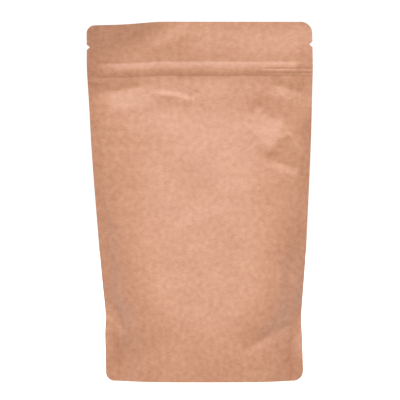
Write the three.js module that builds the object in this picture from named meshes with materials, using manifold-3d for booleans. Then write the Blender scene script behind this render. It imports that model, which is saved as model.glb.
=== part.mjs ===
// A kraft paper stand-up pouch, filled, shut and standing. It is one flat laminated bag: two walls
// welded together down both sides, a press-to-close strip across the top, a tear notch in each side,
// and a gusset folded into the bottom, which opens into a boat-shaped foot when the pouch is filled.
// Millimetres, +Z up, the front towards -Y. The origin is on the floor, at the middle of the box.

import * as THREE from "three";
import { LoftGeometry } from "three/addons/geometries/LoftGeometry.js";
import { mergeVertices } from "three/addons/utils/BufferGeometryUtils.js";
import Module from "manifold-3d";

// The flat bag.
const WIDTH = 130;
const HEIGHT = 206; // standing, 4 mm less than the flat bag, because the bulging walls use it up
const PLY = 0.25; // one wall of paper, foil and seal film
const SIDE_WELD = 7;
const CORNER_RADIUS = { topLeft: 4.5, topRight: 6.5, footLeft: 5, footRight: 5.8 };

// The filled bag. The sides draw in as the walls bulge.
const FOLD_HEIGHT = 37; // where the gusset's fold meets the side welds
const SIDES_DRAWN_IN = 8.9; // at the fold, on each side
const SIDES_CURVE = 1.4; // 1 would draw them in along a straight line
const FOOT_FLARE = 0.5; // how far the sides spread again below the fold
const LEAN = 2.8; // how far the foot stands to the right of the top
const SHOULDER_HEIGHT = 174.9; // where the walls start to part
const SHOULDER_SOFTNESS = { share: 0.1, power: 1.2 }; // how gently they do
const BELLY = 23.8; // how far each wall would bulge at the fold, if it didn't round over into the foot
const BELLY_AT_FLOOR = 22.6;
const BELLY_CURVE = 0.8; // 1 would make the walls flat wedges, and less makes them fuller above
const BELLY_ROUNDING = 3;

// The power of a wall's curve from side to side, where 2 is a parabola and more is flatter in front.
const PLAN_POWER = { shoulder: 3, belly: 5, foot: 3.6 };
const FULL_BELLY_HEIGHT = 2 * FOLD_HEIGHT;
const FOOT_CURVE = { from: 45, to: 16 }; // heights between which the wall turns into the foot

// The side welds are turned back, where the bulging walls pull on them.
const WELD_TURN = THREE.MathUtils.degToRad(35);
const WELD_TURN_FADE = 28; // how long each end of the turned stretch is
const WELD_TURN_BOTTOM = 12;
const WELD_TURN_TOP = { left: 182, right: 162 };

// The press-to-close strip shows as a rib across both walls.
const STRIP_BOTTOM = SHOULDER_HEIGHT;
const STRIP_TOP = 184;
const STRIP_FLANK = 1.8;
const STRIP_RELIEF = 1.1;
const STRIP_RELIEF_IN_WELD = 0.3; // its ends are crushed flat in the side welds
const STRIP_CRUSH_LENGTH = 4;

// The tear notches.
const NOTCH_BELOW_TOP = 13;
const NOTCH_DEPTH = 1.8;
const NOTCH_HEIGHT = 1.6; // of its upper half, and of its lower one

// The top left corner is bent forward along a slanting line.
const BEND_LINE = { top: -8, side: 170 }; // x where it meets the top edge, z where it meets the side
const BEND_ANGLE = THREE.MathUtils.degToRad(22);
const BEND_WIDTH = 10; // how far the bend is rounded over

// The left end of the top hangs lower than the right one, because the left side weld bows out more.
const DROOP = 1.1;
const DROOP_SPAN = { none: 20, full: 48 }; // distances to the left of the middle
const DROOP_HEIGHTS = { none: 60, full: 170 };

// The gusset under the pouch. Places along it are shares of the way from its middle to a side weld.
const SKIRT_THICKNESS = 2 * PLY; // a wall and the gusset, welded together
const SKIRT_MIN = 5; // height of that weld at the middle of the foot
const SKIRT_CURVE = 1.6;
const FLAT_SHARE = 0.4; // where the fold leaves the floor
const TENT_SHARE = 0.95; // where it has risen to its full height
const GUSSET_REACH = 0.985; // where the open gusset ends
const GUSSET_ROUNDNESS = { middle: 4, side: 1 }; // 1 is a straight tent
const FLOOR_CLEARANCE = 0.5; // how far the cut stays under the floor there, so that the foot is flat

// How closely the surfaces are divided.
const STEPS = { across: 30, weld: 2, gussetAlong: 32, gussetOver: 14, skirt: 6, corner: 8 };
const CUTTER_MARGIN = 3;

const { clamp, lerp, smoothstep } = THREE.MathUtils;

// ---- The shape of the filled bag ----

function halfWidth(z) {
  if (z < FOLD_HEIGHT) {
    const flare = smoothstep(FOLD_HEIGHT - z, 0, FOLD_HEIGHT / 3);
    return WIDTH / 2 - SIDES_DRAWN_IN + FOOT_FLARE * flare;
  }
  const down = clamp((STRIP_TOP - z) / (STRIP_TOP - FOLD_HEIGHT), 0, 1);
  return WIDTH / 2 - SIDES_DRAWN_IN * down ** SIDES_CURVE;
}

function middle(z) {
  return LEAN * clamp(1 - z / STRIP_TOP, 0, 1);
}

// The lesser of two values, rounded over where they are within a given range of each other.
function softMin(a, b, range) {
  const near = Math.max(range - Math.abs(a - b), 0);
  return Math.min(a, b) - near ** 2 / (4 * range);
}

function bellyDepth(z) {
  const down = Math.max(SHOULDER_HEIGHT - z, 0) / (SHOULDER_HEIGHT - FOLD_HEIGHT);
  const begun = (down / (down + SHOULDER_SOFTNESS.share)) ** SHOULDER_SOFTNESS.power;
  const slope = BELLY * begun * down ** BELLY_CURVE;
  const foot = lerp(BELLY_AT_FLOOR, BELLY, z / FOLD_HEIGHT);
  return softMin(slope, foot, BELLY_ROUNDING);
}

// The plan of a wall goes from a shallow arc at the shoulder to a full one above the fold, and back to
// the straighter sides of the foot.
function planPower(z) {
  const filled = smoothstep(SHOULDER_HEIGHT - z, 0, SHOULDER_HEIGHT - FULL_BELLY_HEIGHT);
  const footed = smoothstep(FOOT_CURVE.from - z, 0, FOOT_CURVE.from - FOOT_CURVE.to);
  return lerp(lerp(PLAN_POWER.shoulder, PLAN_POWER.belly, filled), PLAN_POWER.foot, footed);
}

// How far a wall stands off the middle plane. across runs from -1 to 1 between the side welds.
function bulge(across, z) {
  return bellyDepth(z) * (1 - Math.abs(clamp(across, -1, 1)) ** planPower(z));
}

function stripRelief(x, z) {
  const rise = smoothstep(z, STRIP_BOTTOM, STRIP_BOTTOM + STRIP_FLANK);
  const fall = smoothstep(STRIP_TOP - z, 0, STRIP_FLANK);
  const pastWeldEdge = Math.abs(x) - (WIDTH / 2 - SIDE_WELD);
  const crushed = smoothstep(pastWeldEdge, -STRIP_CRUSH_LENGTH / 2, STRIP_CRUSH_LENGTH / 2);
  return rise * fall * lerp(STRIP_RELIEF, STRIP_RELIEF_IN_WELD, crushed);
}

// Rolls the top left corner forward over an arc along the bend line. beyond is how far a place lies
// past that line.
function bendCorner(place) {
  const line = new THREE.Vector2(-WIDTH / 2 - BEND_LINE.top, BEND_LINE.side - HEIGHT);
  const normal = new THREE.Vector2(line.y, -line.x).normalize();
  const beyond = Math.max((place.x - BEND_LINE.top) * normal.x + (place.z - HEIGHT) * normal.y, 0);
  const radius = BEND_WIDTH / BEND_ANGLE;
  const turned = Math.min(beyond / radius, BEND_ANGLE);
  const straight = Math.max(beyond - BEND_WIDTH, 0);
  const reach = radius * Math.sin(turned) + straight * Math.cos(BEND_ANGLE);
  const forward = radius * (1 - Math.cos(turned)) + straight * Math.sin(BEND_ANGLE);
  const drawnIn = beyond - reach;
  place.sub(new THREE.Vector3(drawnIn * normal.x, forward, drawnIn * normal.y));
}

function droopLeft(place) {
  const across = smoothstep(-place.x, DROOP_SPAN.none, DROOP_SPAN.full);
  place.z -= DROOP * across * smoothstep(place.z, DROOP_HEIGHTS.none, DROOP_HEIGHTS.full);
}

function bendTop(geometry) {
  const places = geometry.attributes.position;
  const place = new THREE.Vector3();
  for (let i = 0; i < places.count; i++) {
    place.fromBufferAttribute(places, i);
    bendCorner(place);
    droopLeft(place);
    places.setXYZ(i, ...place);
  }
  return geometry;
}

// ---- Spacing of the mesh ----

// Evenly spaced stations through a list of stops: [start, [stop, steps], [stop, steps], ...].
function stations(start, ...spans) {
  const list = [start];
  for (const [stop, steps] of spans) {
    const from = list.at(-1);
    for (let i = 1; i <= steps; i++) list.push(lerp(from, stop, i / steps));
  }
  return list;
}

// The levels lie closer together at the shoulder and on the strip's flanks, where the walls curve most.
const LEVELS = stations(
  0,
  [FOLD_HEIGHT, 9],
  [SHOULDER_HEIGHT - 30, 11],
  [SHOULDER_HEIGHT - 6, 6],
  [STRIP_BOTTOM, 5],
  [STRIP_BOTTOM + STRIP_FLANK, 2],
  [STRIP_TOP - STRIP_FLANK, 1],
  [STRIP_TOP, 2],
  [HEIGHT, 6],
);

const WELD_SHARE = SIDE_WELD / (WIDTH / 2 - SIDE_WELD);
const ACROSS = stations(
  -1 - WELD_SHARE,
  [-1, STEPS.weld],
  [1, STEPS.across],
  [1 + WELD_SHARE, STEPS.weld],
);

function weldTurn(across, z) {
  const top = across < 0 ? WELD_TURN_TOP.left : WELD_TURN_TOP.right;
  const fromBottom = smoothstep(z, WELD_TURN_BOTTOM, WELD_TURN_BOTTOM + WELD_TURN_FADE);
  return WELD_TURN * fromBottom * smoothstep(top - z, 0, WELD_TURN_FADE);
}

// How far out into a side weld a place lies, along the weld.
function intoWeld(across) {
  return (SIDE_WELD * Math.max(Math.abs(across) - 1, 0)) / WELD_SHARE;
}

// The x of a place across the bag, where 1 is the inner edge of the right side weld.
function xAt(across, z) {
  const flat = Math.cos(weldTurn(across, z));
  const inner = halfWidth(z) - SIDE_WELD * flat;
  return middle(z) + Math.sign(across) * (inner * Math.min(Math.abs(across), 1) + intoWeld(across) * flat);
}

// ---- Solids ----

const wasm = await Module();
wasm.setup();

function toSolid(geometry) {
  const places = new THREE.BufferGeometry();
  places.setAttribute("position", geometry.attributes.position);
  places.setIndex(geometry.index);
  const merged = mergeVertices(places, 1e-4);
  return new wasm.Manifold(
    new wasm.Mesh({
      numProp: 3,
      vertProperties: merged.attributes.position.array,
      triVerts: new Uint32Array(merged.index.array),
    }),
  );
}

function toGeometry(solid) {
  const { vertProperties, triVerts } = solid.getMesh();
  const geometry = new THREE.BufferGeometry();
  geometry.setAttribute("position", new THREE.BufferAttribute(vertProperties, 3));
  geometry.setIndex(new THREE.BufferAttribute(triVerts, 1));
  return geometry;
}

// The filled bag with square corners and a flat foot: a loft through one ring at each level.
function bag() {
  const wallPoint = (side, across, z) => {
    const x = xAt(across, z);
    const turnedBack = intoWeld(across) * Math.sin(weldTurn(across, z));
    const y = turnedBack + side * (PLY + bulge(across, z) + stripRelief(x, z));
    return new THREE.Vector3(x, y, z);
  };
  const rings = LEVELS.map((z) => [
    ...ACROSS.map((across) => wallPoint(-1, across, z)),
    ...ACROSS.toReversed().map((across) => wallPoint(1, across, z)),
  ]);
  return toSolid(new LoftGeometry(rings, { capStart: true, capEnd: true }));
}

// Where the gusset is welded to the wall: low at the middle, up to the fold at the sides.
function weldHeight(across) {
  return lerp(SKIRT_MIN, FOLD_HEIGHT, Math.abs(across) ** SKIRT_CURVE);
}

// The gusset from its fold line, at share 0, out to its weld with either wall, at share 1. The fold is
// pressed to the floor along the middle and stands up like a tent towards the side welds.
function gussetHeight(across, share) {
  const risen = smoothstep(Math.abs(across), FLAT_SHARE, TENT_SHARE);
  const fold = lerp(-FLOOR_CLEARANCE, FOLD_HEIGHT, risen);
  const roundness = lerp(GUSSET_ROUNDNESS.middle, GUSSET_ROUNDNESS.side, Math.abs(across));
  return lerp(fold, weldHeight(across), Math.abs(share) ** roundness);
}

// The hollow under the gusset, inside the skirt: a loft from left to right.
function gussetHollow() {
  const wall = (across, z) => bulge(across, Math.max(z, 0)) + PLY - SKIRT_THICKNESS;
  const section = (across) => {
    const top = weldHeight(across);
    const heights = stations(-CUTTER_MARGIN, [0, 1], [top, STEPS.skirt]);
    const place = (side, z) => new THREE.Vector3(xAt(across, Math.max(z, 0)), side * wall(across, z), z);
    const up = heights.map((z) => place(-1, z));
    const over = stations(-1, [1, STEPS.gussetOver])
      .slice(1, -1)
      .map((share) => {
        const y = share * wall(across, top);
        return new THREE.Vector3(xAt(across, top), y, gussetHeight(across, share));
      });
    const down = heights.toReversed().map((z) => place(1, z));
    return [...up, ...over, ...down].toReversed();
  };
  const sections = stations(-GUSSET_REACH, [GUSSET_REACH, STEPS.gussetAlong]).map(section);
  return toSolid(new LoftGeometry(sections, { capStart: true, capEnd: true }));
}

// An outline of [x, z] points, cut through the whole depth of the pouch.
function cutter(outline) {
  const shape = new THREE.Shape(outline.map(([x, z]) => new THREE.Vector2(x, z)));
  const depth = 2 * (BELLY + CUTTER_MARGIN);
  const geometry = new THREE.ExtrudeGeometry(shape, { depth, bevelEnabled: false });
  geometry.rotateX(Math.PI / 2);
  geometry.translate(0, depth / 2, 0);
  return toSolid(geometry);
}

// What is cut off to round one corner. side is -1 on the left, and end is -1 at the foot.
function cornerCutter(side, end) {
  const z = end < 0 ? 0 : HEIGHT;
  const radius = CORNER_RADIUS[(end < 0 ? "foot" : "top") + (side < 0 ? "Left" : "Right")];
  const centre = { x: middle(z) + side * (halfWidth(z) - radius), z: z - end * radius };
  const place = (x, z) => [centre.x + side * x, centre.z + end * z];
  const arc = stations(0, [Math.PI / 2, STEPS.corner]).map((angle) =>
    place(radius * Math.cos(angle), radius * Math.sin(angle)),
  );
  const out = radius + CUTTER_MARGIN;
  return cutter([...arc, place(0, out), place(out, out), place(out, 0)]);
}

function notchCutter(side) {
  const edge = side * (WIDTH / 2);
  const z = HEIGHT - NOTCH_BELOW_TOP;
  const spread = NOTCH_HEIGHT * (1 + CUTTER_MARGIN / NOTCH_DEPTH);
  return cutter([
    [edge + side * CUTTER_MARGIN, z + spread],
    [edge - side * NOTCH_DEPTH, z],
    [edge + side * CUTTER_MARGIN, z - spread],
  ]);
}

function pouchSolid() {
  const cutters = [gussetHollow()];
  for (const side of [-1, 1]) {
    cutters.push(notchCutter(side), cornerCutter(side, -1), cornerCutter(side, 1));
  }
  return cutters.reduce((solid, tool) => solid.subtract(tool), bag());
}

const kraftPaper = new THREE.MeshStandardMaterial({ color: 0xd9a88d, roughness: 0.8, metalness: 0 });
const pouch = new THREE.Mesh(bendTop(toGeometry(pouchSolid())), kraftPaper);
pouch.geometry.computeVertexNormals();
pouch.name = "pouch";

const part = new THREE.Group();
part.add(pouch);

export default part;
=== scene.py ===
# A kraft paper stand-up pouch, filled, shut and standing on its opened bottom gusset. The paper
# is one closed skin: the front wall, the back wall and the gusset are laid out as flat grids,
# given the filled shape, creased, and joined along their edges. Lengths are in millimetres until
# a mesh is written. The front faces -Y, and places on a wall are given as x and z, as seen from
# the front.

import math

import bpy
import numpy as np
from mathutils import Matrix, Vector


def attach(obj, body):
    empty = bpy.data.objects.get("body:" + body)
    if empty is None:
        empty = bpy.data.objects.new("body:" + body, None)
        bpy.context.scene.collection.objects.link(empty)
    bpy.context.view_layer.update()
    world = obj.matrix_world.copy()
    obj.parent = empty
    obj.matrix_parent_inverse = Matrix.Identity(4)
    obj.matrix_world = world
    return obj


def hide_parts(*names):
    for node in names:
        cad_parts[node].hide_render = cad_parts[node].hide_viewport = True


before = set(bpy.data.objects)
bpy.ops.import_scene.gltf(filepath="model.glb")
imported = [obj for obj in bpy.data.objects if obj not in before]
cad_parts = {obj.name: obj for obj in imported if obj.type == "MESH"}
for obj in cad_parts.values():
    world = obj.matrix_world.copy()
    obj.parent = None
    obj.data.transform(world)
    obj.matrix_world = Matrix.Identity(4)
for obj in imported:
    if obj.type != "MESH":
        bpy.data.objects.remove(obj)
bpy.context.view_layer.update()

MM = 0.001
FRONT, BACK = -1, 1
LEFT, RIGHT = -1, 1

# ---- Sizes of the pouch, as in the CAD part ----

WIDTH = 130
HEIGHT = 206
FLAT_HEIGHT = 210  # of the bag when it is empty
PLY = 0.25  # one wall's paper
SIDE_WELD = 7
CORNER_RADIUS = {(LEFT, "top"): 4.5, (RIGHT, "top"): 6.5, (LEFT, "foot"): 5, (RIGHT, "foot"): 5.8}

STRIP_BOTTOM = 174.9
STRIP_TOP = 184

FOLD_HEIGHT = 37  # of the gusset's fold, where it ends in the side welds
SIDES_DRAWN_IN = 8.9
SIDES_CURVE = 1.4
FOOT_FLARE = 0.5
FOOT_FLARE_LENGTH = FOLD_HEIGHT / 3
LEAN = 2.8  # how far the foot stands to the right of the top
SHOULDER_HEIGHT = STRIP_BOTTOM  # the walls part below the strip
SHOULDER_SOFTNESS = {"share": 0.1, "power": 1.2}
BELLY = 23.8  # of each wall, before its rounding takes a little off
BELLY_AT_FLOOR = 22.6
BELLY_CURVE = 0.8
BELLY_ROUNDING = 3
# How flat the walls are across the bag: 2 would be a parabola, and more is flatter in the middle.
PLAN_POWER = {"shoulder": 3, "belly": 5, "foot": 3.6}
FULL_BELLY_HEIGHT = 2 * FOLD_HEIGHT
FOOT_CURVE = {"from": 45, "to": 16}

# The side welds are turned back where the walls pull on them, between these heights.
WELD_TURN = math.radians(35)
WELD_TURN_FADE = 28
WELD_TURN_BOTTOM = 12
WELD_TURN_TOP = {LEFT: 182, RIGHT: 162}
# Where the welds twist further back or less so: height, how far in degrees, and over what length.
WELD_TWIST = {
    LEFT: [(36, -12, 7), (50, 8, 9)],
    RIGHT: [(52, 23, 17), (150, -14, 12)],
}

STRIP_RELIEF = 1.1
STRIP_RELIEF_IN_WELD = 0.3
STRIP_CRUSH_LENGTH = 4

NOTCH_HEIGHT_ON_SIDE = HEIGHT - 13
NOTCH_DEPTH = 1.8
NOTCH_HEIGHT = 1.6

BEND_LINE = {"top": -8, "side": 170}
BEND_ANGLE = math.radians(22)
BEND_WIDTH = 10

DROOP = 1.1
DROOP_SPAN = (20, 48)  # how far left of the middle it begins, and is whole
DROOP_HEIGHTS = (60, 170)

# The skirt that the pouch stands on is the gusset's weld, lowest in the middle of each wall.
SKIRT_THICKNESS = 2 * PLY
SKIRT_MIN = 5
SKIRT_CURVE = 1.6
FLAT_SHARE = 0.4
TENT_SHARE = 0.95
GUSSET_ROUNDNESS = {"middle": 4, "side": 1}

# ---- Finer shape, which the CAD part leaves out ----

# The rib of the strip is rounded, and steepest at its two edges. The walls above it are held
# apart by it too: HEADER_SHARE of its relief is left just above it, and MOUTH_SHARE of that at
# the mouth.
RIB_LOWER_FLANK = 4.8
RIB_UPPER_FLANK = 3
RIB_TOP = 182.9
RIB_CURVE = 2
HEADER_SHARE = 0.72
MOUTH_SHARE = 0.5
PRESSED_END = (30, 44)  # from where the right end of the strip is pressed into lines
GROOVE_HEIGHTS = (178.9, 176.4)
GROOVE_WIDTH = 0.55
GROOVE_DEPTH = 0.2

STRIP_GAP = 0.7  # how far the strip holds each wall off the middle plane just below it
STRIP_GAP_FADE = (150, 170)

TOP_LEAN_BACK = 1.4  # of the top edge, at its right end
TOP_LEAN_SPAN = (-40, 50)
WELD_GROOVE_DEPTH = 0.06
WELD_GROOVE_SHARE = 0.012

# The waviness of the paper: its height, its spacing, and the seed of its random heights.
TOP_WAVES = {"height": 0.3, "size": 16, "seed": 11}
WELD_WAVES = {"height": 0.35, "size": 15, "seed": 12}
WALL_WAVES = {"height": 0.16, "size": 21, "seed": 3}
FINE_WALL_WAVES = {"height": 0.08, "size": 9, "seed": 7}
SPARE_POINTS = 4  # past the bag, for the smooth reading between them

# The relief of creases, dents and waves fades out beside a side weld, over FREE_SHARE of the way
# from the middle to it, and goes no further than RELIEF_LIMIT of the way to the middle plane.
FREE_SHARE = 0.05
RELIEF_LIMIT = 0.8
RELIEF_ROUNDING = 0.3
CREASE_CURVE = 1.5  # how a crease's flanks fall off
WEAR_AND_HIGHLIGHT_WIDTH = 0.8  # of the lighter line along a crease, partly wear and partly painted highlight

# How the sides wander from their even curve: height, how far out, and over what length.
SIDE_WANDER = {
    LEFT: [(204, 0.5, 12), (160, -0.3, 20), (62, 0.2, 20), (28, 0.2, 8)],
    RIGHT: [(202, -0.45, 16), (160, -0.3, 18), (70, 0.28, 22), (26, -0.2, 10)],
}

GUSSET_FOLD = 0.5  # how far the gusset's opened fold still stands up along its middle
GUSSET_FOLD_SHARE = 0.09  # of the way from there to the walls
SKIRT_EASING = 0.5  # the bulge at which the skirt's inner ply has half its thickness
MOUTH_GROOVE = 0.8  # how deep the gap between the two walls shows along the top edge
FLOOR_GAP = 0.05
MAPS_APART = 300  # how far apart the sheets lie on the flat map
MERGE_DISTANCE = 1e-4
SMOOTH_ANGLE = math.radians(50)  # edges bent less than this are shaded smooth

# ---- Colours and patterns of the paper ----

KRAFT_LIGHT = "#BD8767"
KRAFT_DARK = "#A26743"
CLOUD_SIZE = 22
MOTTLE_SIZE = 3.2
# Turn in degrees, width and length. Real fibres are about a tenth as wide, too fine to show.
FIBRES = [(12, 0.35, 3.0), (-28, 0.3, 2.6), (75, 0.35, 2.8)]

# ---- The studio, in metres ----

FLOOR_SIZE = 12
BOARD_WHITE = "#F4F4F3"
LIGHT_TARGET = Vector((0, 0, 0.1))
ROOM_LIGHT = 0.76
FAR_WALL_LIGHT = 1.05
CAMERA_LENS = 380  # in millimetres, as the sensor's width is
CAMERA_SENSOR = 36
CAMERA_PLACE = (0.00015, -2.4225, 0.1037)  # the view is 229.5 mm wide at the pouch's middle


def lerp(start, end, share):
    return start + (end - start) * share


def smoothstep(value, start, end):
    share = np.clip((value - start) / (end - start), 0, 1)
    return share * share * (3 - 2 * share)


# ---- The filled bag ----


def half_width(side, z):
    flare = smoothstep(FOLD_HEIGHT - z, 0, FOOT_FLARE_LENGTH)
    foot = WIDTH / 2 - SIDES_DRAWN_IN + FOOT_FLARE * flare
    down = np.clip((STRIP_TOP - z) / (STRIP_TOP - FOLD_HEIGHT), 0, 1)
    upper = WIDTH / 2 - SIDES_DRAWN_IN * down**SIDES_CURVE
    width = np.where(z < FOLD_HEIGHT, foot, upper)
    for height, out, length in SIDE_WANDER[side]:
        width = width + out * np.exp(-(((z - height) / length) ** 2))
    return width


def middle(z):
    """How far to the right the bag's middle lies, at a height."""
    return LEAN * np.clip(1 - z / STRIP_TOP, 0, 1)


def soft_min(a, b, reach):
    """The lesser of two values, rounded where they come within reach of each other."""
    near = np.maximum(reach - np.abs(a - b), 0)
    return np.minimum(a, b) - near**2 / (4 * reach)


def belly_depth(z):
    down = np.maximum(SHOULDER_HEIGHT - z, 0) / (SHOULDER_HEIGHT - FOLD_HEIGHT)
    begun = (down / (down + SHOULDER_SOFTNESS["share"])) ** SHOULDER_SOFTNESS["power"]
    slope = BELLY * begun * down**BELLY_CURVE
    foot = lerp(BELLY_AT_FLOOR, BELLY, z / FOLD_HEIGHT)
    return soft_min(slope, foot, BELLY_ROUNDING)


def plan_power(z):
    """How flat a wall is across the bag, at a height."""
    filled = smoothstep(SHOULDER_HEIGHT - z, 0, SHOULDER_HEIGHT - FULL_BELLY_HEIGHT)
    footed = smoothstep(FOOT_CURVE["from"] - z, 0, FOOT_CURVE["from"] - FOOT_CURVE["to"])
    upper = lerp(PLAN_POWER["shoulder"], PLAN_POWER["belly"], filled)
    return lerp(upper, PLAN_POWER["foot"], footed)


def bulge(across, z):
    return belly_depth(z) * (1 - np.minimum(np.abs(across), 1) ** plan_power(z))


def groove(z, height):
    """A thin line pressed into the strip at a height, from 0 beside it to 1 along its middle."""
    return np.exp(-(((z - height) / GROOVE_WIDTH) ** 2))


def rib(x, z):
    """The press-to-close strip, as it shows through the wall: a round rib with abrupt edges. Its
    ends are crushed in the side welds, and its right end is pressed into thin lines."""
    up = np.clip((z - STRIP_BOTTOM) / RIB_LOWER_FLANK, 0, 1)
    down = np.clip((RIB_TOP - z) / RIB_UPPER_FLANK, 0, 1)
    header = HEADER_SHARE * lerp(MOUTH_SHARE, 1, smoothstep(HEIGHT - z, 0, HEIGHT - STRIP_TOP))
    round_rib = (1 - (1 - up) ** RIB_CURVE) * lerp(header, 1, 1 - (1 - down) ** RIB_CURVE)
    past_weld_edge = np.abs(x) - (WIDTH / 2 - SIDE_WELD)
    crushed = smoothstep(past_weld_edge, -STRIP_CRUSH_LENGTH / 2, STRIP_CRUSH_LENGTH / 2)
    pressed = smoothstep(x, *PRESSED_END) * GROOVE_DEPTH
    lines = sum(groove(z, height) for height in GROOVE_HEIGHTS)
    return round_rib * lerp(STRIP_RELIEF, STRIP_RELIEF_IN_WELD, crushed) - pressed * lines


def bend_corner(places):
    """Rolls the top left corner forward over an arc along the bend line."""
    run_x, run_z = -WIDTH / 2 - BEND_LINE["top"], BEND_LINE["side"] - HEIGHT
    length = math.hypot(run_x, run_z)
    normal_x, normal_z = run_z / length, -run_x / length
    x, z = places[..., 0], places[..., 2]
    beyond = np.maximum((x - BEND_LINE["top"]) * normal_x + (z - HEIGHT) * normal_z, 0)
    radius = BEND_WIDTH / BEND_ANGLE
    turned = np.minimum(beyond / radius, BEND_ANGLE)
    straight = np.maximum(beyond - BEND_WIDTH, 0)
    run = radius * np.sin(turned) + straight * math.cos(BEND_ANGLE)
    forward = radius * (1 - np.cos(turned)) + straight * math.sin(BEND_ANGLE)
    drawn_in = beyond - run
    return places - np.stack([drawn_in * normal_x, forward, drawn_in * normal_z], axis=-1)


def droop_left(places):
    """Lets the left end of the top hang a little lower."""
    to_left, z = -places[..., 0], places[..., 2]
    drop = DROOP * smoothstep(to_left, *DROOP_SPAN) * smoothstep(z, *DROOP_HEIGHTS)
    return places - np.stack([0 * drop, 0 * drop, drop], axis=-1)


def weld_turn(side, z):
    """The angle by which a side weld is turned back, at a height."""
    from_bottom = smoothstep(z, WELD_TURN_BOTTOM, WELD_TURN_BOTTOM + WELD_TURN_FADE)
    turn = WELD_TURN * from_bottom * smoothstep(WELD_TURN_TOP[side] - z, 0, WELD_TURN_FADE)
    for height, twist, length in WELD_TWIST[side]:
        turn = turn + math.radians(twist) * np.exp(-(((z - height) / length) ** 2))
    return turn


def outline_cut(side, z):
    """How much the rounded corners and the tear notch take off a side."""
    cut = NOTCH_DEPTH * np.clip(1 - np.abs(z - NOTCH_HEIGHT_ON_SIDE) / NOTCH_HEIGHT, 0, 1)
    for end, from_end in (("top", HEIGHT - z), ("foot", z)):
        radius = CORNER_RADIUS[side, end]
        into_corner = np.clip(radius - from_end, 0, radius)
        cut = cut + radius - np.sqrt(radius**2 - into_corner**2)
    return cut


def side_place(side, across, z):
    """Where a place across the bag lies, on one half of it: x off the middle, y, and x on the
    flat bag."""
    turn = weld_turn(side, z)
    weld_reach = SIDE_WELD * np.cos(turn)
    uncut = 1 - outline_cut(side, z) / weld_reach
    into_weld = np.maximum(np.abs(across) - 1, 0) / WELD_SHARE * uncut
    inner = half_width(side, z) - weld_reach
    off_middle = inner * np.minimum(np.abs(across), 1) + weld_reach * into_weld
    flat = (WIDTH / 2 - SIDE_WELD) * np.minimum(np.abs(across), 1) + SIDE_WELD * into_weld
    return side * off_middle, SIDE_WELD * into_weld * np.sin(turn), side * flat


# ---- Stations of the grids ----


def stations(start, *spans):
    """Evenly spaced stations through a list of stops, each with its number of steps."""
    places = [start]
    for stop, steps in spans:
        places += list(np.linspace(places[-1], stop, steps + 1)[1:])
    return places


def arc_stations(radius, steps):
    """Distances from the end of a rounded corner, spaced evenly along its arc."""
    return [radius * (1 - math.cos(math.pi / 2 * i / steps)) for i in range(steps + 1)]


WELD_SHARE = SIDE_WELD / (WIDTH / 2 - SIDE_WELD)
WELD_COLUMNS = 8
PANEL_COLUMNS = 144
ACROSS = np.array(
    stations(
        -1 - WELD_SHARE, (-1, WELD_COLUMNS), (1, PANEL_COLUMNS), (1 + WELD_SHARE, WELD_COLUMNS)
    )
)
PANEL = slice(WELD_COLUMNS, len(ACROSS) - WELD_COLUMNS)  # the columns between the side welds
CORNER_LENGTH = max(CORNER_RADIUS.values())
CORNER_STEPS = 9
# The levels lie closer together around the strip and the notch, out to these margins.
STRIP_MARGIN = {"below": 1.2, "above": 1}
NOTCH_MARGIN = 2
LEVELS = np.array(
    arc_stations(CORNER_LENGTH, CORNER_STEPS)
    + stations(
        CORNER_LENGTH,
        (STRIP_BOTTOM - STRIP_MARGIN["below"], 172),
        (STRIP_TOP + STRIP_MARGIN["above"], 30),
        (NOTCH_HEIGHT_ON_SIDE - NOTCH_MARGIN, 6),
        (NOTCH_HEIGHT_ON_SIDE + NOTCH_MARGIN, 10),
        (HEIGHT - CORNER_LENGTH, 6),
    )[1:]
    + [HEIGHT - place for place in reversed(arc_stations(CORNER_LENGTH, CORNER_STEPS)[:-1])]
)
SKIRT_ROWS = 9
GUSSET_ROWS = 47


# ---- Creases ----


def crease(x, z, line, height, left, right, sharpness=0.5, ends=(0.3, 0.3), wear_and_highlight=0):
    """A ridge along a line of places, or a valley where the height is negative. Its flanks reach
    out to the left and right of the line, going along it, and it fades at each end over a share
    of its length. Returns its height, and how much lighter the paper's colour is along the line:
    partly wear, partly painted highlight."""
    points = np.array(line, float)
    steps = np.diff(points, axis=0)
    lengths = np.hypot(steps[:, 0], steps[:, 1])
    starts = np.cumsum(lengths) - lengths
    nearest = np.full(x.shape, np.inf)
    along = np.zeros(x.shape)
    width = np.zeros(x.shape)
    for point, step, length, start in zip(points, steps, lengths, starts):
        way_x, way_z = step / length
        from_x, from_z = x - point[0], z - point[1]
        run = np.clip(from_x * way_x + from_z * way_z, 0, length)
        distance = np.hypot(from_x - run * way_x, from_z - run * way_z)
        on_left = from_z * way_x - from_x * way_z > 0
        closer = distance < nearest
        nearest = np.where(closer, distance, nearest)
        along = np.where(closer, (start + run) / lengths.sum(), along)
        width = np.where(closer, np.where(on_left, left, right), width)
    rounded = np.sqrt(nearest**2 + sharpness**2) - sharpness
    flank = np.clip(1 - rounded / width, 0, 1) ** CREASE_CURVE
    fade = smoothstep(along, 0, ends[0]) * smoothstep(1 - along, 0, ends[1])
    return height * flank * fade, wear_and_highlight * fade * np.exp(-((nearest / WEAR_AND_HIGHLIGHT_WIDTH) ** 2))


def dent(x, z, centre, reach, depth):
    """A soft hollow, or a swelling where the depth is negative."""
    away = ((x - centre[0]) / reach[0]) ** 2 + ((z - centre[1]) / reach[1]) ** 2
    return -depth * np.exp(-away)


# Where a crease is given a lighter line, that line is partly wear and partly painted highlight.
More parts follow.
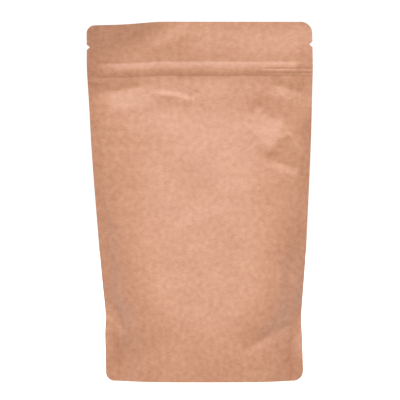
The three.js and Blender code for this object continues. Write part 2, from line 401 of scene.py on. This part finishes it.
FRONT_CREASES = [
    # The left shoulder: a flat patch with a sharp left border.
    dict(line=[(-53, 136), (-52, 150), (-51, 158), (-50, 168)], height=1, left=5, right=28,
         sharpness=0.3, ends=(0.3, 0.4), wear_and_highlight=0.3),
    dict(line=[(-55, 144.5), (-48, 143), (-41, 144)], height=-0.5, left=3, right=6, wear_and_highlight=0.9),
    dict(line=[(-29, 165.4), (-15.6, 163.8), (-9.3, 162.6), (-3.5, 160)], height=0.5, left=2,
         right=9, ends=(0.35, 0.15), wear_and_highlight=0.6),
    dict(line=[(-6, 161.5), (-0.5, 167)], height=-0.35, left=2, right=2),
    # The right shoulder: the buckle where the side weld begins to turn back.
    dict(line=[(30, 150), (33, 160)], height=-0.25, left=4, right=4),
    dict(line=[(33, 164), (37, 154), (48, 145)], height=-0.7, left=10, right=9),
    dict(line=[(10, 152), (37, 146), (46, 143.5), (54, 141.5)], height=-0.5, left=14, right=14,
         ends=(0.6, 0.1)),
    dict(line=[(35, 128), (40.5, 132.5), (44, 138), (52, 142.5)], height=1.2, left=24, right=6,
         sharpness=0.3, ends=(0.35, 0.1), wear_and_highlight=0.5),
    dict(line=[(35, 129.5), (41.8, 126.2), (46, 124.6), (57, 121)], height=-1.2, left=12, right=5,
         sharpness=0.3, ends=(0.5, 0.1), wear_and_highlight=0.2),
    # The middle.
    dict(line=[(-20, 83), (4, 93), (26, 103)], height=0.2, left=5, right=12, sharpness=1.5),
    # The foot: the upper edge of the gusset's weld shows at the sides, and above it on the right
    # is a faint hollow beside the side weld.
    dict(line=[(20, 17), (31, 21), (37.8, 24.8), (43.5, 27.7), (50.4, 30.5), (58, 33.8)],
         height=-1.7, left=10, right=7, sharpness=0.3, ends=(0.45, 0.03), wear_and_highlight=0.2),
    dict(line=[(52.5, 76), (52, 60), (51.3, 46), (50, 34)], height=-1.3, left=2.2, right=6,
         ends=(0.3, 0.1)),
    dict(line=[(55, 21), (53, 12), (50.5, 4)], height=-0.5, left=4, right=4),
    dict(line=[(-58, 38.5), (-50, 34.8), (-46.2, 30.5), (-43.5, 25)], height=-1.7, left=9,
         right=2.6, sharpness=0.3, ends=(0.03, 0.4), wear_and_highlight=0.9),
]
# Creases through both walls, where they lie on each other.
SHARED_CREASES = [
    dict(line=[(-2, 204), (-18, 194), (-34, 188)], height=0.6, left=7, right=8, sharpness=2),
    dict(line=[(-64, 166), (-50, 167.2), (-38, 168.8), (-22, 171)], height=-1.1, left=6.5, right=12,
         ends=(0.1, 0.5)),
    dict(line=[(38, 170.5), (48, 168.5), (60, 165)], height=-0.9, left=5.5, right=7,
         ends=(0.35, 0.1)),
]
BACK_CREASES = [
    dict(line=[(-18, 170.5), (-34, 168.5), (-47, 165.5), (-56, 161)], height=-0.9, left=13, right=7,
         ends=(0.5, 0.1)),
    dict(line=[(55, 165), (44, 168), (28, 170)], height=-0.8, left=12, right=6, ends=(0.1, 0.5)),
    dict(line=[(34, 146), (45, 149), (54, 155)], height=-0.7, left=6, right=9, ends=(0.4, 0.1)),
    dict(line=[(-54, 128), (-45, 133), (-33, 135)], height=-0.6, left=8, right=6, ends=(0.1, 0.5)),
    dict(line=[(-10, 120), (8, 108), (24, 92)], height=0.2, left=10, right=4, sharpness=1.5),
    dict(line=[(20, 17), (31, 21), (37.8, 24.8), (43.5, 27.7), (50.4, 30.5), (57, 34)], height=-1.2,
         left=9, right=6, ends=(0.5, 0.05)),
    dict(line=[(-57, 35), (-50, 31), (-44, 27.5), (-37, 23.5), (-28, 20)], height=-1.1, left=8,
         right=6, ends=(0.05, 0.5)),
]
FRONT_DENTS = [
    dict(centre=(-40, 5), reach=(14, 18), depth=0.7),
    dict(centre=(-31, 145), reach=(22, 16), depth=-0.5),
    dict(centre=(-47, 90), reach=(4, 2.5), depth=-0.3),
]
BACK_DENTS = [
    dict(centre=(38, 8), reach=(18, 18), depth=0.7),
]


def cubic_weights(share):
    return (
        ((-0.5 * share + 1) * share - 0.5) * share,
        (1.5 * share - 2.5) * share**2 + 1,
        ((-1.5 * share + 2) * share + 0.5) * share,
        (0.5 * share - 0.5) * share**2,
    )


def read_between(values, row, column):
    """Reads a grid of values at places between its points, smoothly."""
    first_row, first_column = np.floor(row).astype(int), np.floor(column).astype(int)
    total = 0
    for i, row_weight in enumerate(cubic_weights(row - first_row)):
        for j, column_weight in enumerate(cubic_weights(column - first_column)):
            at_row = np.clip(first_row + i - 1, 0, values.shape[0] - 1)
            at_column = np.clip(first_column + j - 1, 0, values.shape[1] - 1)
            total = total + row_weight * column_weight * values[at_row, at_column]
    return total


def cockle(x, z, waves, side=0):
    """The slight waviness of paper: smooth random heights from -1 to 1. Each wall has its own
    where a side is given."""
    size = waves["size"]
    rows = int(FLAT_HEIGHT / size) + SPARE_POINTS
    columns = int(WIDTH / size) + SPARE_POINTS
    heights = np.random.default_rng(waves["seed"] + side).uniform(-1, 1, (rows, columns))
    return read_between(heights, z / size + 1, (x + WIDTH / 2) / size + 1)


# ---- The walls ----


def warp(across, x, z):
    """How far back the flat top and the side welds wave. Both walls move together there."""
    top = smoothstep(z, STRIP_TOP, HEIGHT)
    back = TOP_LEAN_BACK * top * smoothstep(x, *TOP_LEAN_SPAN)
    back = back + TOP_WAVES["height"] * top * cockle(x, z, TOP_WAVES)
    weld = smoothstep(np.abs(across), 1 - WELD_SHARE, 1 + WELD_SHARE)
    back = back + WELD_WAVES["height"] * weld * cockle(x, z, WELD_WAVES)
    for values in SHARED_CREASES:
        back = back - crease(x, z, **values)[0]
    return back


def weld_groove(across):
    """The pressed line along the inner edge of a side weld."""
    return WELD_GROOVE_DEPTH * np.exp(-(((np.abs(across) - 1) / WELD_GROOVE_SHARE) ** 2))


def wall(side):
    """One wall, row by row: its places, the same places on the flat bag, and the marks in the
    paper's colour at each: lighter lines along creases, partly wear and partly painted highlight,
    and the side welds, darker partly as pressed paper and partly as painted shade."""
    across, z = np.meshgrid(ACROSS, LEVELS)
    left_half, right_half = side_place(LEFT, across, z), side_place(RIGHT, across, z)
    off_middle, turned_back, flat_x = np.where(across < 0, left_half, right_half)
    x = middle(z) + off_middle
    off_weld = smoothstep(1 - np.abs(across), 0, FREE_SHARE)
    free = off_weld * smoothstep(STRIP_TOP - z, 0, STRIP_TOP - STRIP_BOTTOM)
    apart = STRIP_GAP * free * smoothstep(z, *STRIP_GAP_FADE)
    off_plane = bulge(across, z) + apart
    own = PLY + off_plane + rib(x, z) - weld_groove(across)
    y = turned_back + warp(across, x, z) + side * own
    places = np.stack([x, y, z], axis=-1)

    normals = np.cross(np.gradient(places, axis=1), np.gradient(places, axis=0)) * -side
    normals /= np.linalg.norm(normals, axis=-1, keepdims=True)
    relief = WALL_WAVES["height"] * cockle(x, z, WALL_WAVES, side)
    relief = relief + FINE_WALL_WAVES["height"] * cockle(x, z, FINE_WALL_WAVES, side)
    # Lighter lines along the creases, in the paper's colour: partly wear, partly painted highlight.
    wear_and_highlight = np.zeros(x.shape)
    for values in FRONT_CREASES if side == FRONT else BACK_CREASES:
        height, crease_wear_and_highlight = crease(x, z, **values)
        relief = relief + height
        wear_and_highlight = np.maximum(wear_and_highlight, crease_wear_and_highlight)
    for values in FRONT_DENTS if side == FRONT else BACK_DENTS:
        relief = relief + dent(x, z, **values)
    relief = -soft_min(-relief, RELIEF_LIMIT * off_plane, RELIEF_ROUNDING)
    places = places + normals * (relief * free)[..., None]
    flat = np.stack([flat_x, z * FLAT_HEIGHT / HEIGHT], axis=-1)
    # The side welds, darker in the paper's colour: partly pressed paper, partly painted shade.
    pressed = smoothstep(np.abs(across), 1 - WELD_GROOVE_SHARE, 1 + WELD_GROOVE_SHARE)
    return droop_left(bend_corner(places)), flat, {"wear_and_highlight": wear_and_highlight, "pressed": pressed}


def with_rim(places, middle_places, flat):
    """Adds a ring around a wall, at the middle of the bag's thickness, where the walls meet."""
    ring = np.ones((places.shape[0] + 2, places.shape[1] + 2), bool)
    ring[1:-1, 1:-1] = False
    padding = ((1, 1), (1, 1), (0, 0))
    rimmed = np.pad(places, padding, mode="edge")
    rimmed[ring] = np.pad(middle_places, padding, mode="edge")[ring]
    rimmed[-1, WELD_COLUMNS : -WELD_COLUMNS, 2] -= MOUTH_GROOVE
    rimmed_flat = np.pad(flat, padding, mode="edge")
    rimmed_flat[0, :, 1] -= PLY
    rimmed_flat[-1, :, 1] += PLY
    rimmed_flat[:, 0, 0] -= PLY
    rimmed_flat[:, -1, 0] += PLY
    return rimmed, rimmed_flat


# ---- The gusset ----


def weld_height(across):
    """How high the gusset is welded to the walls."""
    return lerp(SKIRT_MIN, FOLD_HEIGHT, np.abs(across) ** SKIRT_CURVE)


def gusset_height(across, share):
    """The height of the underside, which is flat in the middle and rises towards the side welds.
    The share goes from -1 at the front wall over 0 at the fold to 1 at the back wall."""
    fold = FOLD_HEIGHT * smoothstep(np.abs(across), FLAT_SHARE, TENT_SHARE)
    roundness = lerp(GUSSET_ROUNDNESS["middle"], GUSSET_ROUNDNESS["side"], np.abs(across))
    return lerp(fold, weld_height(across), np.abs(share) ** roundness)


def skirt_inside(places, middle_places, share):
    """A row of places on the inner face of the skirt, behind a wall, at a share of the weld's
    height. At the side welds it lies on the middle of the bag's thickness, where it meets the
    other skirt and the rim."""
    across = ACROSS[PANEL]
    row = np.interp(weld_height(across) * share, LEVELS, np.arange(len(LEVELS)))
    column = np.arange(len(across), dtype=float)

    def read(grid):
        return np.stack([read_between(grid[:, PANEL, i], row, column) for i in range(3)], axis=-1)

    inside, centre = read(places), read(middle_places)
    off_centre = inside[:, 1] - centre[:, 1]
    bulged = np.maximum(np.abs(off_centre) - PLY, 0)
    inner_depth = bulged - (SKIRT_THICKNESS - PLY) * bulged / (bulged + SKIRT_EASING)
    inside[:, 1] = centre[:, 1] + np.sign(off_centre) * inner_depth
    return inside


def gusset(front, back, between):
    """The underside, from the front wall's lower edge over the gusset to the back wall's."""
    across = ACROSS[PANEL]
    off_weld = smoothstep(1 - np.abs(across), 0, 1 - TENT_SHARE)
    skirt_shares = np.linspace(0, 1, SKIRT_ROWS)
    front_rows = [skirt_inside(front, between, share) for share in skirt_shares]
    back_rows = [skirt_inside(back, between, share) for share in skirt_shares]
    over_rows = []
    for share in np.linspace(-1, 1, GUSSET_ROWS)[1:-1]:
        row = lerp(front_rows[-1], back_rows[-1], (share + 1) / 2)
        folded = GUSSET_FOLD * max(1 - abs(share) / GUSSET_FOLD_SHARE, 0) * off_weld
        row[:, 2] = gusset_height(across, share) + folded + FLOOR_GAP
        over_rows.append(row)
    rows = [front[0, PANEL], *front_rows, *over_rows, *reversed(back_rows), back[0, PANEL]]
    places = np.array(rows)
    run = np.cumsum(np.linalg.norm(np.diff(places, axis=0, prepend=places[:1]), axis=-1), axis=0)
    flat = np.stack([np.broadcast_to(across * (WIDTH / 2 - SIDE_WELD), run.shape), run], axis=-1)
    return places, flat


# ---- Meshes ----


def lay_sheet(name, places, flat, marks):
    """Lays a grid flat, with one vertex for each place, and gives it its shape, its flat map and
    the values of the marks in its colour."""
    rows, columns = places.shape[:2]
    bpy.ops.object.select_all(action="DESELECT")
    bpy.ops.mesh.primitive_grid_add(
        x_subdivisions=columns - 1, y_subdivisions=rows - 1, size=1, location=(0.5, 0.5, 0)
    )
    bpy.ops.object.transform_apply(location=True, rotation=True, scale=True)
    piece = bpy.context.active_object
    piece.name = name
    mesh = piece.data
    grid = np.empty(len(mesh.vertices) * 3)
    mesh.vertices.foreach_get("co", grid)
    grid = grid.reshape(-1, 3)
    row = np.rint(grid[:, 1] * (rows - 1)).astype(int)
    column = np.rint(grid[:, 0] * (columns - 1)).astype(int)
    mesh.vertices.foreach_set("co", (places[row, column] * MM).ravel())
    corners = np.empty(len(mesh.loops), int)
    mesh.loops.foreach_get("vertex_index", corners)
    mesh.uv_layers[0].name = "flat_bag"
    mesh.uv_layers[0].data.foreach_set("uv", (flat[row, column][corners] * MM).ravel())
    for mark_name, values in marks.items():
        layer = mesh.attributes.new(mark_name, "FLOAT", "POINT")
        layer.data.foreach_set("value", values[row, column])
    return piece


def delete_rim_between_welds(piece):
    """Opens the rim under a wall, where the gusset joins it instead."""
    bpy.ops.object.mode_set(mode="EDIT")
    bpy.ops.mesh.select_mode(type="FACE")
    bpy.ops.mesh.select_all(action="DESELECT")
    bpy.ops.object.mode_set(mode="OBJECT")
    inner = WIDTH / 2 - SIDE_WELD
    flat_map = piece.data.uv_layers["flat_bag"].data
    for face in piece.data.polygons:
        spots = [flat_map[loop].uv / MM for loop in face.loop_indices]
        low = min(spot.y for spot in spots)
        widest = max(abs(spot.x) for spot in spots)
        face.select = low < -PLY / 2 and widest < inner + PLY / 2
    bpy.ops.object.mode_set(mode="EDIT")
    bpy.ops.mesh.delete(type="FACE")
    bpy.ops.object.mode_set(mode="OBJECT")


def move_map(piece, distance):
    for corner in piece.data.uv_layers["flat_bag"].data:
        corner.uv.x += distance * MM


def make_pouch():
    """Lays the two walls and the gusset as sheets, joins them and closes their seams."""
    front, front_flat, front_marks = wall(FRONT)
    back, back_flat, back_marks = wall(BACK)
    between = (front + back) / 2
    sheets = []
    for name, places, flat, marks in (
        ("front_wall", front, front_flat, front_marks),
        ("back_wall", back, back_flat, back_marks),
    ):
        rimmed_marks = {mark_name: np.pad(values, 1, mode="edge") for mark_name, values in marks.items()}
        sheet = lay_sheet(name, *with_rim(places, between, flat), rimmed_marks)
        delete_rim_between_welds(sheet)
        sheets.append(sheet)
    move_map(sheets[1], MAPS_APART)
    places, flat = gusset(front, back, between)
    unmarked = np.zeros(places.shape[:2])
    sheets.append(lay_sheet("gusset", places, flat, {"wear_and_highlight": unmarked, "pressed": unmarked}))
    move_map(sheets[2], 2 * MAPS_APART)

    bpy.ops.object.select_all(action="DESELECT")
    for sheet in sheets:
        sheet.select_set(True)
    bpy.context.view_layer.objects.active = sheets[0]
    bpy.ops.object.join()
    piece = bpy.context.active_object
    piece.name = "pouch_paper"
    bpy.ops.object.mode_set(mode="EDIT")
    bpy.ops.mesh.select_all(action="SELECT")
    bpy.ops.mesh.remove_doubles(threshold=MERGE_DISTANCE * MM)
    bpy.ops.mesh.dissolve_degenerate(threshold=MERGE_DISTANCE * MM)
    bpy.ops.mesh.normals_make_consistent(inside=False)
    bpy.ops.object.mode_set(mode="OBJECT")
    bpy.ops.object.shade_smooth_by_angle(angle=SMOOTH_ANGLE)
    return piece


# ---- Materials ----


def linear(hex_colour):
    """An sRGB hex colour as linear red, green, blue and alpha."""
    values = [int(hex_colour[i : i + 2], 16) / 255 for i in (1, 3, 5)]
    curved = [v / 12.92 if v <= 0.04045 else ((v + 0.055) / 1.055) ** 2.4 for v in values]
    return (*curved, 1)


def add_node(tree, kind, inputs=None, **settings):
    """Adds a node. Each input is a number, a colour or another node's output, which is linked."""
    added = tree.nodes.new(kind)
    for name, value in settings.items():
        setattr(added, name, value)
    for name, value in (inputs or {}).items():
        if isinstance(value, bpy.types.NodeSocket):
            tree.links.new(value, added.inputs[name])
        else:
            added.inputs[name].default_value = value
    return added


def new_material(name):
    material = bpy.data.materials.new(name)
    material.use_nodes = True
    material.node_tree.nodes.clear()
    return material, material.node_tree


def kraft_paper():
    """Natural kraft paper under a matte film. The paper is warm tan and dull, cloudy where the
    pulp lay unevenly, with short fibres lying in all directions. The film is a clear coat,
    smoother than the paper, which gives a soft and wide sheen."""
    material, tree = new_material("matte_film_kraft_paper")
    flat_bag = add_node(tree, "ShaderNodeUVMap", uv_map="flat_bag").outputs["UV"]

    def noise(size_mm, roughness=0.5):
        inputs = {
            "Vector": flat_bag,
            "Scale": 1 / (size_mm * MM),
            "Detail": 2,
            "Roughness": roughness,
        }
        return add_node(tree, "ShaderNodeTexNoise", inputs).outputs["Fac"]

    def spread(value, low, high, to_low, to_high):
        inputs = {
            "Value": value,
            "From Min": low,
            "From Max": high,
            "To Min": to_low,
            "To Max": to_high,
        }
        return add_node(tree, "ShaderNodeMapRange", inputs).outputs["Result"]

    def total(*values):
        result = values[0]
        for value in values[1:]:
            inputs = {0: result, 1: value}
            result = add_node(tree, "ShaderNodeMath", inputs, operation="ADD").outputs[0]
        return result

    def fibres(turn, width_mm, length_mm):
        inputs = {
            "Vector": flat_bag,
            "Rotation": (0, 0, math.radians(turn)),
            "Scale": (1 / (length_mm * MM), 1 / (width_mm * MM), 1),
        }
        lying = add_node(tree, "ShaderNodeMapping", inputs, vector_type="POINT").outputs["Vector"]
        inputs = {"Vector": lying, "Scale": 1.0, "Detail": 1.0, "Roughness": 0.5, "Distortion": 0.6}
        return add_node(tree, "ShaderNodeTexNoise", inputs).outputs["Fac"]

    # Lighter lines along the creases: partly wear, partly painted highlight.
    wear_and_highlight = add_node(tree, "ShaderNodeAttribute", attribute_name="wear_and_highlight").outputs["Fac"]
    # Darker side welds: partly pressed paper, partly painted shade.
    pressed = add_node(tree, "ShaderNodeAttribute", attribute_name="pressed").outputs["Fac"]
    clouds = noise(CLOUD_SIZE)
    mottle = noise(MOTTLE_SIZE, roughness=0.55)
    fibre = total(*[fibres(*layer) for layer in FIBRES])
    # Each layer moves the tone to either side of the middle between dark and light.
    tone = total(
        spread(clouds, 0.3, 0.7, -0.14, 0.14),
        spread(mottle, 0.25, 0.75, -0.34, 0.34),
        spread(fibre, 1.1, 1.9, -0.22, 0.22),
        # Lighter along the creases: partly wear, partly painted highlight.
        spread(wear_and_highlight, 0, 1, 0, 0.5),
        # Darker in the side welds: partly pressed paper, partly painted shade.
        spread(pressed, 0, 1, 0, -0.1),
        0.5,
    )
    mixed = add_node(
        tree,
        "ShaderNodeMix",
        {"Factor": tone, "A": linear(KRAFT_DARK), "B": linear(KRAFT_LIGHT)},
        data_type="RGBA",
    )
    roughness = spread(mottle, 0.2, 0.8, 0.52, 0.64)
    bump = add_node(
        tree,
        "ShaderNodeBump",
        {"Strength": 0.25, "Distance": 0.05 * MM, "Height": total(fibre, mottle)},
    )
    shader = add_node(
        tree,
        "ShaderNodeBsdfPrincipled",
        {
            "Base Color": mixed.outputs["Result"],
            "Roughness": roughness,
            "IOR": 1.5,
            "Coat Weight": 1.0,
            "Coat Roughness": 0.42,
            "Normal": bump.outputs["Normal"],
        },
    )
    add_node(tree, "ShaderNodeOutputMaterial", {"Surface": shader.outputs["BSDF"]})
    return material


def studio_board():
    """Matt white board, lit until it shows as plain white. It is only there for the eye, and only
    from above: it lets the room's light through, so that the foot and the gusset are lit too."""
    material, tree = new_material("matt_white_studio_board")
    white = add_node(
        tree,
        "ShaderNodeBsdfPrincipled",
        {
            "Base Color": linear(BOARD_WHITE),
            "Roughness": 0.9,
            "Specular IOR Level": 0.2,
            "Emission Color": (1, 1, 1, 1),
            "Emission Strength": 0.3,
        },
    )
    clear = add_node(tree, "ShaderNodeBsdfTransparent")
    camera_ray = add_node(tree, "ShaderNodeLightPath").outputs["Is Camera Ray"]
    underside = add_node(tree, "ShaderNodeNewGeometry").outputs["Backfacing"]
    inputs = {0: camera_ray, 1: clear.outputs["BSDF"], 2: white.outputs["BSDF"]}
    board = add_node(tree, "ShaderNodeMixShader", inputs)
    inputs = {0: underside, 1: board.outputs["Shader"], 2: clear.outputs["BSDF"]}
    seen = add_node(tree, "ShaderNodeMixShader", inputs)
    add_node(tree, "ShaderNodeOutputMaterial", {"Surface": seen.outputs["Shader"]})
    return material


# ---- The studio ----


def make_floor():
    bpy.ops.object.select_all(action="DESELECT")
    bpy.ops.mesh.primitive_plane_add(size=FLOOR_SIZE, location=(0, 0, -FLOOR_GAP * MM))
    floor = bpy.context.active_object
    floor.name = "studio_floor"
    floor.data.materials.append(studio_board())


def aim(thing, target):
    way = target - thing.location
    thing.rotation_euler = way.to_track_quat("-Z", "Y").to_euler()


def add_soft_light(name, azimuth, elevation, width, strength):
    """A wide even light. width is the angle that it fills, as seen from the pouch, in degrees."""
    a, e = math.radians(azimuth), math.radians(elevation)
    away = Vector((math.sin(a) * math.cos(e), -math.cos(a) * math.cos(e), math.sin(e)))
    bpy.ops.object.light_add(type="SUN", location=LIGHT_TARGET + away)
    light = bpy.context.active_object
    light.name = name
    light.data.angle = math.radians(width)
    light.data.energy = strength
    aim(light, LIGHT_TARGET)


def make_world():
    """A white studio. It lights the pouch softly from all round, and its far wall is lit more."""
    world = bpy.data.worlds.new("white_studio")
    world.use_nodes = True
    tree = world.node_tree
    tree.nodes.clear()
    white = (1, 1, 1, 1)
    room = add_node(tree, "ShaderNodeBackground", {"Color": white, "Strength": ROOM_LIGHT})
    far_wall = add_node(tree, "ShaderNodeBackground", {"Color": white, "Strength": FAR_WALL_LIGHT})
    camera_ray = add_node(tree, "ShaderNodeLightPath").outputs["Is Camera Ray"]
    inputs = {0: camera_ray, 1: room.outputs["Background"], 2: far_wall.outputs["Background"]}
    mixed = add_node(tree, "ShaderNodeMixShader", inputs)
    add_node(tree, "ShaderNodeOutputWorld", {"Surface": mixed.outputs["Shader"]})
    bpy.context.scene.world = world


def make_camera():
    bpy.ops.object.camera_add(location=CAMERA_PLACE, rotation=(math.pi / 2, 0, 0))
    camera = bpy.context.active_object
    camera.name = "photo_camera"
    camera.data.lens = CAMERA_LENS
    camera.data.sensor_width = CAMERA_SENSOR
    bpy.context.scene.camera = camera


bpy.context.scene.view_settings.view_transform = "Standard"
make_world()
make_floor()
add_soft_light("key_light", azimuth=0, elevation=37, width=35, strength=1.45)
add_soft_light("left_light", azimuth=-64, elevation=42, width=45, strength=1.2)
add_soft_light("right_light", azimuth=64, elevation=42, width=45, strength=1.05)
add_soft_light("back_light", azimuth=180, elevation=35, width=45, strength=1.3)
make_camera()

pouch_paper = make_pouch()
pouch_paper.data.materials.clear()
pouch_paper.data.materials.append(kraft_paper())
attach(pouch_paper, "root")
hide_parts("pouch")
